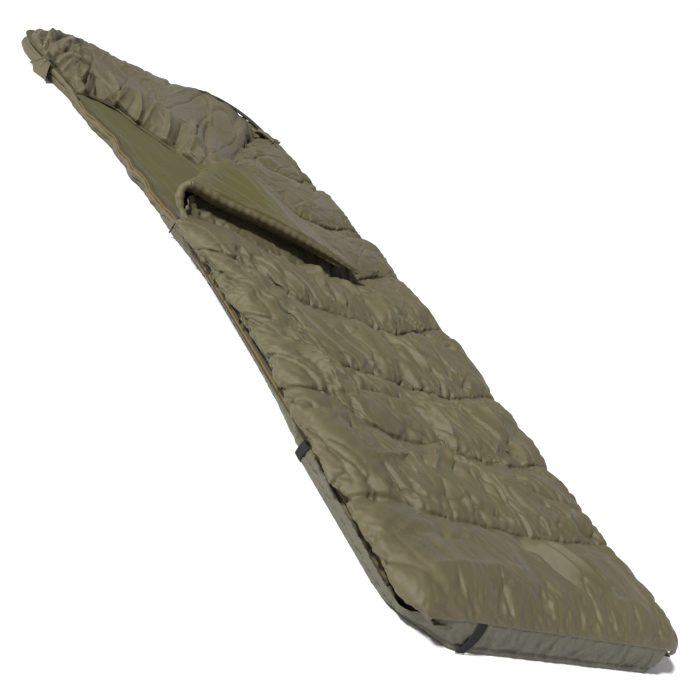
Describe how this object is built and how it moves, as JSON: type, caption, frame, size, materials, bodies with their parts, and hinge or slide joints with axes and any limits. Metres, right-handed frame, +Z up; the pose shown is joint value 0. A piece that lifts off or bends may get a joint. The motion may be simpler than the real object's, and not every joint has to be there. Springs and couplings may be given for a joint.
{
  "type": "hooded sleeping bag",
  "caption": "Rectangular quilted sleeping bag with a hood, a zip down each side and an upright foot band, its top's upper corner folded back over the lining.",
  "frame": {"origin": "on the ground, under the middle of the bag's bounding box", "axes": "+Y along the bag from the foot band to the hood, +X to the sleeper's right when lying face up, +Z up"},
  "size_m": [0.9718, 2.2716, 0.141],
  "materials": {
    "shell_cloth": "matt woven, slightly glossy on the folds",
    "band_cloth": "matt woven grey olive",
    "lining_cloth": "brushed matt olive green",
    "filling": "white hollow fibre sheet",
    "binding": "dark woven tape",
    "zip_tape": "woven tape with a tan thread line",
    "zip_coil": "dark coil",
    "webbing": "black ribbed webbing",
    "slider_metal": "dark painted",
    "bare_metal": "brushed",
    "pull_cord": "black braided cord",
    "toggle_cord": "pale braided cord",
    "pull_plastic": "moulded black",
    "hook_and_loop": "dark hooked and looped pile"
  },
  "bodies": {
    "bag": {"base_shell": "shell_cloth", "base_wadding": "filling", "base_lining": "lining_cloth", "foot_band": "band_cloth", "top_shell": "shell_cloth", "top_channel_1": "filling", "top_channel_2": "filling", "top_channel_3": "filling", "top_channel_4": "filling", "top_channel_5": "filling", "top_channel_6": "filling", "top_channel_7": "filling", "top_channel_8": "filling", "top_lining": "lining_cloth", "hood_shell": "shell_cloth", "hood_wadding": "filling", "hood_lining": "lining_cloth", "hood_wall": "shell_cloth", "brim_binding": "binding", "left_tape_base": "zip_tape", "left_tape_top": "zip_tape", "left_coil_base": "zip_coil", "left_coil_top": "zip_coil", "right_tape_base": "zip_tape", "right_tape_top": "zip_tape", "right_coil_base": "zip_coil", "right_coil_top": "zip_coil", "left_draft_tube": "shell_cloth", "right_draft_tube": "shell_cloth", "zip_stops": "bare_metal", "foot_strap": "webbing", "side_strap": "webbing", "neck_loop": "webbing", "tab_patch": "hook_and_loop"},
    "corner": {"corner_shell": "shell_cloth", "corner_wadding": "filling", "corner_lining": "lining_cloth", "corner_draft_tube": "shell_cloth", "corner_tape": "zip_tape", "corner_coil": "zip_coil"},
    "left_zip_slider": {"left_slider": "slider_metal"},
    "left_pull": {"left_pull_ring": "slider_metal", "left_pull_cord": "pull_cord", "left_pull_tip": "pull_plastic"},
    "right_zip_slider": {"right_slider": "slider_metal"},
    "right_pull": {"right_pull_tab": "bare_metal"},
    "right_end_toggle": {"right_toggle_cord": "toggle_cord", "right_toggle": "pull_plastic"},
    "tab": {"neck_tab": "shell_cloth", "neck_tab_hooks": "hook_and_loop"}
  },
  "joints": [
    {"name": "corner_fold", "type": "hinge", "parent": "bag", "child": "corner", "pos_m": [-0.294, 0.19, 0.1115], "axis": [-0.648, -0.7616, 0], "range_deg": [0, 176]},
    {"name": "left_zip_slide", "type": "slide", "parent": "bag", "child": "left_zip_slider", "axis": [0, -1, 0], "range_m": [0, 1.15]},
    {"name": "left_pull_swing", "type": "hinge", "parent": "left_zip_slider", "child": "left_pull", "pos_m": [-0.315, 0.15, 0.052], "axis": [0, 1, 0], "range_deg": [-5, 120]},
    {"name": "right_zip_slide", "type": "slide", "parent": "bag", "child": "right_zip_slider", "axis": [0, 1, 0], "range_m": [0, 1.15]},
    {"name": "right_pull_swing", "type": "hinge", "parent": "right_zip_slider", "child": "right_pull", "pos_m": [0.483, -1.05, 0.052], "axis": [0, -1, 0], "range_deg": [0, 120]},
    {"name": "right_toggle_swing", "type": "hinge", "parent": "right_pull", "child": "right_end_toggle", "pos_m": [0.483, -1.05, 0.032], "axis": [0, -1, 0], "range_deg": [0, 100]},
    {"name": "neck_tab_swing", "type": "hinge", "parent": "bag", "child": "tab", "pos_m": [-0.45492, 0.89, 0.046], "axis": [-0.2756, 0.9613, 0], "range_deg": [0, 165]}
  ]
}
